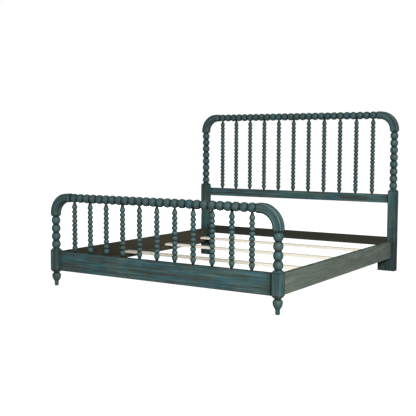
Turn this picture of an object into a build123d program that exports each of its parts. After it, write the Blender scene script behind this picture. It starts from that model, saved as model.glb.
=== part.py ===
"""Panel bed with turned spool rails, in painted wood.

Headboard and footboard are frames with rounded upper corners: turned posts, square
elbows and a turned top rail, filled with turned spindles. Two side rails carry
ledgers and slats. The bed stands on the floor with its foot end towards -Y and its
head end towards +Y. X runs across the bed and Z is up. All sizes are millimetres.
"""

import os
from math import sqrt

from build123d import *

# Overall bed
bed_height = 1422.4
post_spacing_across = 1976.0
post_spacing_along = 2190.0

# Turned beads of the posts and the top rails
bead_pitch = 63.2
bead_diameter = 69.0
bead_neck_diameter = 42.0
foot_post_beads = 4
head_post_beads = 8

# Square blocks of the posts
block_size = 75.0
foot_block_bottom = 111.0
foot_block_rise = 20.0
foot_block_chamfer = 11.0
head_block_chamfer = 4.0
block_bevel_height = 18.0
block_bevel_end = 47.0

# Elbows at the upper corners
elbow_size = 67.0
elbow_chamfer = 9.0
elbow_bend_radius = 131.0
elbow_straight = 6.0
elbow_bevel_length = 14.0
elbow_bevel_end = 47.0

# Turned foot below each footboard post's block
foot_toe_diameter = 32.0
foot_ankle_height = 28.0
foot_bulb_diameter = 68.0
foot_bulb_height = 81.0
foot_neck_diameter = 44.0
foot_neck_height = 102.0

# Glides nailed under the four posts
glide_height = 4.0
glide_diameter = 22.0
glide_nail_diameter = 2.6
glide_nail_length = 16.0

# Spindles
nominal_spindle_spacing = 158.0
nominal_spindle_pitch = 35.0
spindle_diameter = 42.0
spindle_neck_diameter = 23.0
spindle_drop_length = 36.5
spindle_tip_diameter = 16.0
spindle_pin_diameter = 12.0
spindle_pin_length = 20.0

# Legs under the headboard posts, and the plates beside them
nominal_leg_top = 379.0
leg_tenon_size = 36.0
leg_tenon_length = 60.0
leg_plate_width = 80.0
leg_plate_thickness = 22.0

# Flat rails of the headboard and the footboard
rail_edge_chamfer = 2.0
mid_rail_height = 75.5
mid_rail_thickness = 28.0
mid_rail_drop = 46.0
low_rail_height = 78.0
low_rail_thickness = 25.0
low_rail_bottom = 229.0
foot_rail_height = 155.5
foot_rail_thickness = 25.0
foot_rail_bottom = 123.5

# Side rails, ledgers and slats
side_rail_height = 151.0
side_rail_thickness = 25.0
side_rail_bottom = 120.5
side_rail_outset = 6.0
ledger_height = 32.0
ledger_thickness = 25.0
ledger_rise = 16.0
ledger_end_gap = 20.0
slat_count = 4
slat_thickness = 19.0
slat_width = 70.0
slat_edge_chamfer = 1.5
slat_end_gap = 3.0
slat_head_margin = 62.5
slat_foot_margin = 216.5

# Wooden joints
joint_clearance = 0.1
joint_end_gap = 1.5
rail_tenon_length = 30.0
rail_tenon_thickness = 12.0
rail_tenon_shoulder = 14.0
elbow_dowel_diameter = 16.0
elbow_dowel_length = 60.0
rail_dowel_diameter = 10.0
rail_dowel_length = 40.0
rail_dowel_rise = 39.5
plate_dowel_diameter = 8.0
plate_dowel_length = 40.0
plate_dowel_inset = 45.0

# Bolts that hold the side rails
bolt_diameter = 8.0
bolt_clearance = 0.25
bolt_head_diameter = 13.0
bolt_head_height = 8.0
bolt_rise = 115.5
bolt_engagement = 22.0
bolt_seat_depth = 1.0
bolt_pocket_diameter = 26.0
bolt_pocket_inset = 58.0
bolt_pocket_wall = 6.0
insert_diameter = 14.0
insert_length = 25.0
insert_gap = 1.0

# Wood screws
screw_diameter = 4.5
screw_head_diameter = 8.6
screw_head_height = 2.6
screw_clearance = 0.1
ledger_screw_length = 42.0
slat_screw_length = 38.0
leg_screw_length = 45.0
leg_screw_drop = 21.0
leg_plug_diameter = 10.0
leg_plug_thickness = 6.0

# Centres and faces of the posts
half_across = post_spacing_across / 2
half_along = post_spacing_along / 2
half_block = block_size / 2
post_inner = half_across - half_block
foot_face = half_block - half_along
head_face = half_along - half_block

# Turned profile of the posts and the top rails
half_pitch = bead_pitch / 2
crest = bead_diameter / 2
neck = bead_neck_diameter / 2
bead_arc_radius = (half_pitch**2 + (crest - neck) ** 2) / (2 * (crest - neck))

# Top rails take as many whole beads as leave room for the elbows
elbow_rise = elbow_bend_radius + elbow_straight + elbow_bevel_length
rail_bead_count = int((post_spacing_across - 2 * elbow_rise) // bead_pitch)
rail_half_length = rail_bead_count * half_pitch
bead_run = (rail_bead_count - 1) * bead_pitch
spindle_count = round(bead_run / nominal_spindle_spacing) + 1
spindle_spacing = bead_run / (spindle_count - 1)
spindle_places = [index * spindle_spacing - bead_run / 2 for index in range(spindle_count)]

# Heights of the two boards
foot_rail_top = foot_rail_bottom + foot_rail_height
foot_block_top = foot_rail_top + foot_block_rise
foot_neck_top = foot_block_top + foot_post_beads * bead_pitch
foot_rail_axis = foot_neck_top + elbow_rise
head_rail_axis = bed_height - max(crest, elbow_size / 2)
head_neck_top = head_rail_axis - elbow_rise
head_block_top = head_neck_top - head_post_beads * bead_pitch
mid_rail_top = head_block_top - mid_rail_drop
mid_rail_bottom = mid_rail_top - mid_rail_height
low_rail_top = low_rail_bottom + low_rail_height
leg_top = min(nominal_leg_top, mid_rail_bottom)
low_rail_middle = head_face + low_rail_thickness / 2
plate_middle = head_face + leg_plate_thickness / 2
plate_dowel_heights = (
    glide_height + plate_dowel_inset,
    low_rail_bottom - plate_dowel_inset,
)

# Side rails and what lies on them
side_rail_outer = half_across + side_rail_outset
side_rail_inner = side_rail_outer - side_rail_thickness
side_rail_middle = (side_rail_outer + side_rail_inner) / 2
bolt_height = side_rail_bottom + bolt_rise
rail_dowel_height = side_rail_bottom + rail_dowel_rise
bolt_seat = bolt_pocket_inset - bolt_pocket_diameter / 2 - bolt_seat_depth
ledger_inner = side_rail_inner - ledger_thickness
ledger_middle = (side_rail_inner + ledger_inner) / 2
ledger_bottom = side_rail_bottom + ledger_rise
ledger_top = ledger_bottom + ledger_height
slat_top = ledger_top + slat_thickness
slat_half_length = side_rail_inner - slat_end_gap
first_slat = foot_face + slat_foot_margin
last_slat = head_face - slat_head_margin
slat_spacing = (last_slat - first_slat) / (slat_count - 1)
slat_places = [first_slat + index * slat_spacing for index in range(slat_count)]
ledger_screw_places = [
    y + share * slat_spacing for y in slat_places[:-1] for share in (0.25, 0.75)
]

# Left is -X and right is +X, seen from the foot end
SIDES = {"left": -1, "right": 1}

os.makedirs("parts", exist_ok=True)


def finish(builder, name):
    """Label a finished piece and write it to its own file."""
    builder.part.label = name
    export_step(builder.part, f"parts/{name}.step")


def facing_x(x, y, z, side=1):
    """Plane through a point that faces along X."""
    return Plane(origin=(x, y, z), x_dir=(0, 1, 0), z_dir=(side, 0, 0))


def facing_y(x, y, z, side=1):
    """Plane through a point that faces along Y."""
    return Plane(origin=(x, y, z), x_dir=(1, 0, 0), z_dir=(0, side, 0))


def facing_z(x, y, z, side=1):
    """Plane through a point that faces up or down."""
    return Plane(origin=(x, y, z), x_dir=(1, 0, 0), z_dir=(0, 0, side))


def upright(x, y):
    """Plane through an upright axis, with heights along its own Y."""
    return Plane(origin=(x, y, 0), x_dir=(1, 0, 0), z_dir=(0, -1, 0))


def bar(x_limits, y_limits, z_limits, mode=Mode.ADD):
    """Square-edged bar, or a pocket of that shape, between limits along each axis."""
    x_low, x_high = sorted(x_limits)
    y_low, y_high = sorted(y_limits)
    z_low, z_high = sorted(z_limits)
    with BuildSketch(facing_z((x_low + x_high) / 2, (y_low + y_high) / 2, z_low)) as outline:
        Rectangle(x_high - x_low, y_high - y_low)
    extrude(outline.sketch, amount=z_high - z_low, mode=mode)


def around(centre, size):
    """Two limits that lie evenly around a centre."""
    return (centre - size / 2, centre + size / 2)


def rod(plane, diameter, length, mode=Mode.ADD):
    """Round rod, or a hole of that shape, that leaves a plane along its normal."""
    with BuildSketch(plane) as outline:
        Circle(diameter / 2)
    extrude(outline.sketch, amount=length, mode=mode)


def drill(plane, diameter, depth):
    """Round hole that enters a plane along its normal."""
    rod(plane, diameter, depth, Mode.SUBTRACT)


def dowel_hole(plane, diameter, length):
    """Hole for one half of a dowel, with room for glue around and beyond it."""
    drill(plane, diameter + 2 * joint_clearance, length / 2 + joint_end_gap)


def dowel(plane, diameter, length):
    """Dowel that crosses a plane by half its length on each side."""
    rod(plane.offset(-length / 2), diameter, length)


def chamfered_square(size, edge):
    """Square outline with its four corners cut off."""
    square = Rectangle(size, size)
    chamfer(square.vertices(), length=edge)


def bevelled_end(edge_plane, tip_plane, size, end_size, edge):
    """Square section that steps in to the turned part next to it."""
    with BuildSketch(edge_plane) as wide:
        chamfered_square(size, edge)
    with BuildSketch(tip_plane) as narrow:
        chamfered_square(end_size, edge * end_size / size)
    loft([wide.sketch, narrow.sketch])


def square_block(x, y, bottom, top, edge):
    """Straight length of a post's block."""
    with BuildSketch(facing_z(x, y, bottom)) as outline:
        chamfered_square(block_size, edge)
    extrude(outline.sketch, amount=top - bottom)


def block_bevel(x, y, edge_height, tip_height, edge):
    """Bevelled end of a post's block."""
    edge_plane = facing_z(x, y, edge_height)
    tip_plane = facing_z(x, y, tip_height)
    bevelled_end(edge_plane, tip_plane, block_size, block_bevel_end, edge)


def bead_arcs(start, count, pitch, crest_radius, neck_radius):
    """Arcs of a row of turned beads, drawn along the turning axis."""
    for index in range(count):
        low = start + index * pitch
        ThreePointArc(
            (neck_radius, low),
            (crest_radius, low + pitch / 2),
            (neck_radius, low + pitch),
        )


def post_beads(x, y, bottom, count):
    """Turned length of a post."""
    top = bottom + count * bead_pitch
    with BuildSketch(upright(x, y)) as profile:
        with BuildLine():
            bead_arcs(bottom, count, bead_pitch, crest, neck)
            Polyline((neck, top), (0, top), (0, bottom), (neck, bottom))
        make_face()
    revolve(profile.sketch, axis=Axis((x, y, 0), (0, 0, 1)))


def turned_foot(x, y):
    """Turned foot below a block: straight toe, bulb, and neck under the block."""
    toe = foot_toe_diameter / 2
    bulb = foot_bulb_diameter / 2
    waist = foot_neck_diameter / 2
    swell = (
        toe + 0.42 * (bulb - toe),
        foot_ankle_height + 0.36 * (foot_bulb_height - foot_ankle_height),
    )
    shoulder = (
        waist + 0.78 * (bulb - waist),
        foot_bulb_height + 0.68 * (foot_neck_height - foot_bulb_height),
    )
    with BuildSketch(upright(x, y)) as profile:
        with BuildLine():
            Polyline(
                (0, foot_block_bottom),
                (0, glide_height),
                (toe, glide_height),
                (toe, foot_ankle_height),
            )
            Spline((toe, foot_ankle_height), swell, (bulb, foot_bulb_height), tangents=[(0, 1), (0, 1)])
            ThreePointArc((bulb, foot_bulb_height), shoulder, (waist, foot_neck_height))
            Polyline((waist, foot_neck_height), (waist, foot_block_bottom), (0, foot_block_bottom))
        make_face()
    revolve(profile.sketch, axis=Axis((x, y, 0), (0, 0, 1)))


def post_top_hole(x, y, top):
    """Hole in a post's top for the dowel of its elbow."""
    dowel_hole(facing_z(x, y, top, -1), elbow_dowel_diameter, elbow_dowel_length)


def rail_mortise(side, y, bottom, top):
    """Mortise in a post's inner face for the tenon of a flat rail."""
    bar(
        (side * post_inner, side * (post_inner + rail_tenon_length + joint_end_gap)),
        around(y, rail_tenon_thickness + 2 * joint_clearance),
        (bottom + rail_tenon_shoulder - joint_clearance, top - rail_tenon_shoulder + joint_clearance),
        Mode.SUBTRACT,
    )


def side_rail_holes(side, face, direction):
    """Holes in a post for a side rail's insert and dowel."""
    x = side * side_rail_middle
    drill(facing_y(x, face, bolt_height, direction), insert_diameter, insert_length + insert_gap)
    dowel_hole(facing_y(x, face, rail_dowel_height, direction), rail_dowel_diameter, rail_dowel_length)


def glide_hole(x, y):
    """Hole for the nail of a post's glide."""
    drill(facing_z(x, y, glide_height), glide_nail_diameter, glide_nail_length + joint_end_gap)


def plate_dowel_holes(side, direction):
    """Holes for the dowels between a headboard leg and its plate."""
    for height in plate_dowel_heights:
        seat = facing_x(side * post_inner, plate_middle, height, direction)
        dowel_hole(seat, plate_dowel_diameter, plate_dowel_length)


def flat_rail(y, thickness, bottom, top):
    """Flat rail between two posts, with a tenon on each end."""
    bar(around(0, 2 * post_inner), around(y, thickness), (bottom, top))
    long_edges = edges().filter_by(Axis.X)
    chamfer(long_edges, length=rail_edge_chamfer)
    bar(
        around(0, 2 * (post_inner + rail_tenon_length)),
        around(y, rail_tenon_thickness),
        (bottom + rail_tenon_shoulder, top - rail_tenon_shoulder),
    )


def spindle_holes(y, height, direction):
    """Holes in a rail for the pins of a board's spindles."""
    for x in spindle_places:
        hole = facing_z(x, y, height, direction)
        drill(hole, spindle_pin_diameter + 2 * joint_clearance, spindle_pin_length + joint_end_gap)


def rail_radius_over(x):
    """Radius of a top rail where it rests on the tip of a spindle at x."""
    from_neck = (x + rail_half_length) % bead_pitch
    from_crest = max(abs(from_neck - half_pitch) - spindle_tip_diameter / 2, 0)
    return sqrt(bead_arc_radius**2 - from_crest**2) - bead_arc_radius + crest


def top_rail(name, y, axis_height):
    """Turned rail between two elbows, with holes for the spindles below."""
    turning = Plane(origin=(0, y, axis_height), x_dir=(0, 0, 1), z_dir=(0, -1, 0))
    with BuildPart() as rail:
        with BuildSketch(turning):
            with BuildLine():
                bead_arcs(-rail_half_length, rail_bead_count, bead_pitch, crest, neck)
                Polyline(
                    (neck, rail_half_length),
                    (0, rail_half_length),
                    (0, -rail_half_length),
                    (neck, -rail_half_length),
                )
            make_face()
        revolve(axis=Axis((0, y, axis_height), (1, 0, 0)))
        for side in SIDES.values():
            end = facing_x(side * rail_half_length, y, axis_height, -side)
            dowel_hole(end, elbow_dowel_diameter, elbow_dowel_length)
        spindle_holes(y, axis_height - crest, 1)
    finish(rail, name)


def elbow(name, side, y, neck_height, axis_height):
    """Square elbow from the top of a post round to the end of a top rail."""
    x = side * half_across
    tip = side * rail_half_length
    low = neck_height + elbow_bevel_length
    inner = tip + side * elbow_bevel_length
    with BuildPart() as bend:
        with BuildLine(upright(0, y)) as path:
            FilletPolyline((x, low), (x, axis_height), (inner, axis_height), radius=elbow_bend_radius)
        with BuildSketch(facing_z(x, y, low)):
            chamfered_square(elbow_size, elbow_chamfer)
        sweep(path=path.line)
        post_end = facing_z(x, y, neck_height)
        rail_end = facing_x(tip, y, axis_height, side)
        post_edge = facing_z(x, y, low)
        rail_edge = facing_x(inner, y, axis_height, side)
        for edge, end in ((post_edge, post_end), (rail_edge, rail_end)):
            bevelled_end(edge, end, elbow_size, elbow_bevel_end, elbow_chamfer)
        for end in (post_end, rail_end):
            dowel_hole(end, elbow_dowel_diameter, elbow_dowel_length)
    finish(bend, name)


def spindle(name, x, y, bottom, axis_height):
    """Turned spindle from a flat rail up to the top rail, with a pin on each end."""
    pin = spindle_pin_diameter / 2
    tip = spindle_tip_diameter / 2
    bulge = spindle_diameter / 2
    waist = spindle_neck_diameter / 2
    low = bottom + spindle_drop_length
    high = axis_height - crest - spindle_drop_length
    top = axis_height - rail_radius_over(x)
    bead_count = round((high - low) / nominal_spindle_pitch) - 1
    pitch = (high - low) / (bead_count + 1)
    swell = tip + 0.62 * (bulge - tip)
    swell_rise = spindle_drop_length / 2
    flank = waist + 0.78 * (bulge - waist)
    with BuildPart() as turning:
        with BuildSketch(upright(x, y)):
            with BuildLine():
                Spline(
                    (tip, bottom),
                    (swell, bottom + swell_rise),
                    (bulge, low),
                    tangents=[(0.5, 1), (0, 1)],
                )
                ThreePointArc((bulge, low), (flank, low + pitch / 4), (waist, low + pitch / 2))
                bead_arcs(low + pitch / 2, bead_count, pitch, bulge, waist)
                ThreePointArc((waist, high - pitch / 2), (flank, high - pitch / 4), (bulge, high))
                Spline(
                    (bulge, high),
                    (swell, high + swell_rise),
                    (tip, top),
                    tangents=[(0, 1), (-0.5, 1)],
                )
                Polyline(
                    (tip, top),
                    (pin, top),
                    (pin, axis_height - crest + spindle_pin_length),
                    (0, axis_height - crest + spindle_pin_length),
                    (0, bottom - spindle_pin_length),
                    (pin, bottom - spindle_pin_length),
                    (pin, bottom),
                    (tip, bottom),
                )
            make_face()
        revolve(axis=Axis((x, y, 0), (0, 0, 1)))
    finish(turning, name)


def screw_shape(seat, length, clearance, mode):
    """Countersunk screw, or the hole for one, that enters a surface against its normal."""
    head = screw_head_diameter / 2 + clearance
    shank = screw_diameter / 2 + clearance
    turning = Plane(origin=seat.origin, x_dir=seat.x_dir, z_dir=-seat.y_dir)
    with BuildSketch(turning) as profile:
        with BuildLine():
            Polyline(
                (0, 0),
                (head, 0),
                (shank, -screw_head_height),
                (shank, -length - clearance + shank),
                (0, -length - clearance),
                (0, 0),
            )
        make_face()
    revolve(profile.sketch, axis=Axis(seat.origin, seat.z_dir), mode=mode)


def screw(seat, length):
    """Countersunk wood screw, flush with the surface it enters."""
    screw_shape(seat, length, 0, Mode.ADD)


def screw_hole(seat, length):
    """Hole that a countersunk wood screw fills."""
    screw_shape(seat, length, screw_clearance, Mode.SUBTRACT)


def ledger_screw_seats(side):
    """Planes of a ledger's screws, on its inner face."""
    middle = (ledger_bottom + ledger_top) / 2
    return [facing_x(side * ledger_inner, y, middle, -side) for y in ledger_screw_places]


def slat_screw_seat(side, y):
    """Plane of a slat's screw, on its top over a ledger."""
    return facing_z(side * ledger_middle, y, slat_top)


def leg_screw_seat(side):
    """Plane of the screw behind the plug of a headboard leg."""
    return facing_y(side * half_across, head_face + leg_plug_thickness, leg_top - leg_screw_drop, -1)


# Footboard posts, each turned from one length: foot, block and beads
for word, side in SIDES.items():
    x = side * half_across
    with BuildPart() as footboard_post:
        block_low = foot_block_bottom + block_bevel_height
        block_high = foot_block_top - block_bevel_height
        square_block(x, -half_along, block_low, block_high, foot_block_chamfer)
        block_bevel(x, -half_along, block_low, foot_block_bottom, foot_block_chamfer)
        block_bevel(x, -half_along, block_high, foot_block_top, foot_block_chamfer)
        post_beads(x, -half_along, foot_block_top, foot_post_beads)
        turned_foot(x, -half_along)
        rail_mortise(side, -half_along, foot_rail_bottom, foot_rail_top)
        side_rail_holes(side, foot_face, -1)
        post_top_hole(x, -half_along, foot_neck_top)
        glide_hole(x, -half_along)
    finish(footboard_post, f"footboard_post_{word}")

# Headboard posts, a block below the beads, with a tenon into the leg
for word, side in SIDES.items():
    x = side * half_across
    with BuildPart() as headboard_post:
        block_high = head_block_top - block_bevel_height
        square_block(x, half_along, leg_top, block_high, head_block_chamfer)
        block_bevel(x, half_along, block_high, head_block_top, head_block_chamfer)
        post_beads(x, half_along, head_block_top, head_post_beads)
        bar(
            around(x, leg_tenon_size),
            around(half_along, leg_tenon_size),
            (leg_top - leg_tenon_length, leg_top),
        )
        rail_mortise(side, half_along, mid_rail_bottom, mid_rail_top)
        post_top_hole(x, half_along, head_neck_top)
        screw_hole(leg_screw_seat(side), leg_screw_length)
    finish(headboard_post, f"headboard_post_{word}")

# Headboard legs, square blocks that stand on the floor
for word, side in SIDES.items():
    x = side * half_across
    with BuildPart() as headboard_leg:
        square_block(x, half_along, glide_height, leg_top, head_block_chamfer)
        bar(
            around(x, leg_tenon_size + 2 * joint_clearance),
            around(half_along, leg_tenon_size + 2 * joint_clearance),
            (leg_top - leg_tenon_length - joint_end_gap, leg_top),
            Mode.SUBTRACT,
        )
        rail_mortise(side, low_rail_middle, low_rail_bottom, low_rail_top)
        side_rail_holes(side, head_face, 1)
        plate_dowel_holes(side, side)
        screw_hole(leg_screw_seat(side), leg_screw_length)
        drill(leg_screw_seat(side), leg_plug_diameter, leg_plug_thickness)
        glide_hole(x, half_along)
    finish(headboard_leg, f"headboard_leg_{word}")

# Plates that widen the headboard legs below the low rail
for word, side in SIDES.items():
    with BuildPart() as leg_plate:
        bar(
            (side * post_inner, side * (post_inner - leg_plate_width)),
            (head_face, head_face + leg_plate_thickness),
            (glide_height, low_rail_bottom),
        )
        inner_edges = edges().filter_by(Axis.Z).sort_by(Axis.X, reverse=side < 0)[:2]
        chamfer(inner_edges, length=rail_edge_chamfer)
        plate_dowel_holes(side, -side)
    finish(leg_plate, f"headboard_leg_plate_{word}")

# Elbows and turned top rails
for word, side in SIDES.items():
    elbow(f"footboard_elbow_{word}", side, -half_along, foot_neck_top, foot_rail_axis)
    elbow(f"headboard_elbow_{word}", side, half_along, head_neck_top, head_rail_axis)
top_rail("footboard_top_rail", -half_along, foot_rail_axis)
top_rail("headboard_top_rail", half_along, head_rail_axis)

# Flat rails of the two boards
with BuildPart() as footboard_bottom_rail:
    flat_rail(-half_along, foot_rail_thickness, foot_rail_bottom, foot_rail_top)
    spindle_holes(-half_along, foot_rail_top, -1)
finish(footboard_bottom_rail, "footboard_bottom_rail")

with BuildPart() as headboard_mid_rail:
    flat_rail(half_along, mid_rail_thickness, mid_rail_bottom, mid_rail_top)
    spindle_holes(half_along, mid_rail_top, -1)
finish(headboard_mid_rail, "headboard_mid_rail")

with BuildPart() as headboard_low_rail:
    flat_rail(low_rail_middle, low_rail_thickness, low_rail_bottom, low_rail_top)
finish(headboard_low_rail, "headboard_low_rail")

# Spindles of the two boards
for index, x in enumerate(spindle_places, start=1):
    spindle(f"footboard_spindle_{index:02d}", x, -half_along, foot_rail_top, foot_rail_axis)
    spindle(f"headboard_spindle_{index:02d}", x, half_along, mid_rail_top, head_rail_axis)

# Side rails, with a pocket near each end for the head of a bolt
for word, side in SIDES.items():
    with BuildPart() as side_rail:
        bar(
            (side * side_rail_inner, side * side_rail_outer),
            (foot_face, head_face),
            (side_rail_bottom, side_rail_bottom + side_rail_height),
        )
        long_edges = edges().filter_by(Axis.Y)
        chamfer(long_edges, length=rail_edge_chamfer)
        x = side * side_rail_middle
        for face, direction in ((foot_face, 1), (head_face, -1)):
            pocket_place = face + direction * bolt_pocket_inset
            pocket = facing_x(side * side_rail_inner, pocket_place, bolt_height, side)
            drill(pocket, bolt_pocket_diameter, side_rail_thickness - bolt_pocket_wall)
            hole = facing_y(x, face, bolt_height, direction)
            drill(hole, bolt_diameter + 2 * bolt_clearance, bolt_pocket_inset)
            head_width = bolt_head_diameter + 2 * bolt_clearance
            drill(hole.offset(bolt_seat), head_width, bolt_pocket_inset - bolt_seat)
            end = facing_y(x, face, rail_dowel_height, direction)
            dowel_hole(end, rail_dowel_diameter, rail_dowel_length)
        for seat in ledger_screw_seats(side):
            screw_hole(seat, ledger_screw_length)
    finish(side_rail, f"side_rail_{word}")

# Ledgers on the inner faces of the side rails
for word, side in SIDES.items():
    with BuildPart() as ledger:
        bar(
            (side * ledger_inner, side * side_rail_inner),
            (foot_face + ledger_end_gap, head_face - ledger_end_gap),
            (ledger_bottom, ledger_top),
        )
        for seat in ledger_screw_seats(side):
            screw_hole(seat, ledger_screw_length)
        for y in slat_places:
            screw_hole(slat_screw_seat(side, y), slat_screw_length)
    finish(ledger, f"ledger_{word}")

# Slats across the ledgers, counted from the foot end
for index, y in enumerate(slat_places, start=1):
    with BuildPart() as slat:
        bar(around(0, 2 * slat_half_length), around(y, slat_width), (ledger_top, slat_top))
        long_edges = edges().filter_by(Axis.X)
        chamfer(long_edges, length=slat_edge_chamfer)
        for side in SIDES.values():
            screw_hole(slat_screw_seat(side, y), slat_screw_length)
    finish(slat, f"slat_{index}")

# Dowels
board_frames = (
    (-half_along, foot_neck_top, foot_rail_axis),
    (half_along, head_neck_top, head_rail_axis),
)
with BuildPart() as elbow_dowels:
    for side in SIDES.values():
        for y, neck_height, axis_height in board_frames:
            dowel(facing_z(side * half_across, y, neck_height), elbow_dowel_diameter, elbow_dowel_length)
            rail_end = facing_x(side * rail_half_length, y, axis_height)
            dowel(rail_end, elbow_dowel_diameter, elbow_dowel_length)
finish(elbow_dowels, "elbow_dowels")

with BuildPart() as rail_dowels:
    for side in SIDES.values():
        for face in (foot_face, head_face):
            seat = facing_y(side * side_rail_middle, face, rail_dowel_height)
            dowel(seat, rail_dowel_diameter, rail_dowel_length)
finish(rail_dowels, "rail_dowels")

with BuildPart() as plate_dowels:
    for side in SIDES.values():
        for height in plate_dowel_heights:
            seat = facing_x(side * post_inner, plate_middle, height)
            dowel(seat, plate_dowel_diameter, plate_dowel_length)
finish(plate_dowels, "plate_dowels")

# Bolts and threaded inserts of the side rails
with BuildPart() as rail_bolts:
    for side in SIDES.values():
        for face, direction in ((foot_face, 1), (head_face, -1)):
            seat = facing_y(side * side_rail_middle, face + direction * bolt_seat, bolt_height, direction)
            rod(seat, bolt_head_diameter, bolt_head_height)
            rod(seat.offset(-bolt_seat - bolt_engagement), bolt_diameter, bolt_seat + bolt_engagement)
finish(rail_bolts, "rail_bolts")

with BuildPart() as threaded_inserts:
    for side in SIDES.values():
        for face, direction in ((foot_face, -1), (head_face, 1)):
            mouth = facing_y(side * side_rail_middle, face, bolt_height, direction)
            rod(mouth, insert_diameter, insert_length)
            drill(mouth, bolt_diameter, insert_length)
finish(threaded_inserts, "threaded_inserts")

# Screws, and the plugs over the two in the headboard legs
with BuildPart() as ledger_screws:
    for side in SIDES.values():
        for seat in ledger_screw_seats(side):
            screw(seat, ledger_screw_length)
finish(ledger_screws, "ledger_screws")

with BuildPart() as slat_screws:
    for side in SIDES.values():
        for y in slat_places:
            screw(slat_screw_seat(side, y), slat_screw_length)
finish(slat_screws, "slat_screws")

with BuildPart() as leg_screws:
    for side in SIDES.values():
        screw(leg_screw_seat(side), leg_screw_length)
finish(leg_screws, "leg_screws")

with BuildPart() as leg_plugs:
    for side in SIDES.values():
        rod(leg_screw_seat(side), leg_plug_diameter, leg_plug_thickness)
finish(leg_plugs, "leg_plugs")

# Glides under the four posts
with BuildPart() as floor_glides:
    for side in SIDES.values():
        for y in (-half_along, half_along):
            rod(facing_z(side * half_across, y, 0), glide_diameter, glide_height)
            nail = facing_z(side * half_across, y, glide_height)
            rod(nail, glide_nail_diameter, glide_nail_length)
finish(floor_glides, "floor_glides")
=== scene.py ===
"""Looks for a panel bed with turned spool rails: worn grey-green paint over brown wood.

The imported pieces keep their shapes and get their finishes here. Screw and bolt heads
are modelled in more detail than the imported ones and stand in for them. All lengths
are metres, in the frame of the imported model: the bed stands on the floor with its
foot end towards -Y and its head end towards +Y.
"""

import logging
import math
from dataclasses import dataclass, replace
from enum import Enum

import bmesh
import bpy
from mathutils import Matrix, Vector


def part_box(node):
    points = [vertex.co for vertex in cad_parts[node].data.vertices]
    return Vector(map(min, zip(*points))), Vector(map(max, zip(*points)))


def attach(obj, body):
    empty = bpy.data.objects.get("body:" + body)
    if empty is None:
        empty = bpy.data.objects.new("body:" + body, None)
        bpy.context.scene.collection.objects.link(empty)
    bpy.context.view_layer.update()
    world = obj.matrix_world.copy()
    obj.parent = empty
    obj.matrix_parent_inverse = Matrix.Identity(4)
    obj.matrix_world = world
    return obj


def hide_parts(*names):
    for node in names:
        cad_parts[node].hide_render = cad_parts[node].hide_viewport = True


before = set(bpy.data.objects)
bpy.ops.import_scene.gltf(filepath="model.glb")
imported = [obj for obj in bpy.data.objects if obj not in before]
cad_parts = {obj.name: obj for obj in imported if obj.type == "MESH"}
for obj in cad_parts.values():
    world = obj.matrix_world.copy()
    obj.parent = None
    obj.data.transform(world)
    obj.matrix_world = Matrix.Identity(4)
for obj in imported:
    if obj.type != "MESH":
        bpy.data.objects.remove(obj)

LOG = logging.getLogger("panel_bed")
Pair = tuple[float, float]
Triple = tuple[float, float, float]
Colour = Triple
Socket = bpy.types.NodeSocket
Value = float | Socket
Place = tuple[Vector, Vector]

BODY = "root"
SIDES = {"left": -1, "right": 1}
SPINDLE_COUNT = 11
SLAT_COUNT = 4
LEG_JOINT = 0.379  # height of the joint line on the headboard's legs

# How strongly streaks show on turned parts, and the glaze that lies all over them.
TURNED_STREAKS = 0.40
THIN_GLAZE = 0.26

# Shares of a bead's rise above its neck: where the glaze, which is also painted shade on the
# bead's flanks, begins to thin and ends, and where the dry brush, which is also a painted
# highlight, begins and is full.
GROOVE_FADE = (0.02, 0.66)
CROWN_FADE = (0.62, 1.0)

# Shares of a chamfer's width between which its own face fades in.
BEVEL_FADE = (0.95, 0.65)

# The share of its top height at which the darkening low on a leg is full.
LOW_FADE = 0.7


class Grain(Enum):
    """Direction of the wood's grain, and the order of axes that brings it to Z."""

    ACROSS = "YZX"
    ALONG = "XZY"
    UPRIGHT = "XYZ"


class Drive(Enum):
    """The recess in a fastener's head, and how often its outline repeats on a turn."""

    CROSS = 4
    HEXAGON = 6


@dataclass(frozen=True)
class Noise:
    """The size and character of a noise.

    Attributes:
        cells: How many of its cells fit in a metre, along each axis.
        detail: How many finer layers it has.
        roughness: How strongly the finer layers show.
    """

    cells: Triple
    detail: float
    roughness: float


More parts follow.
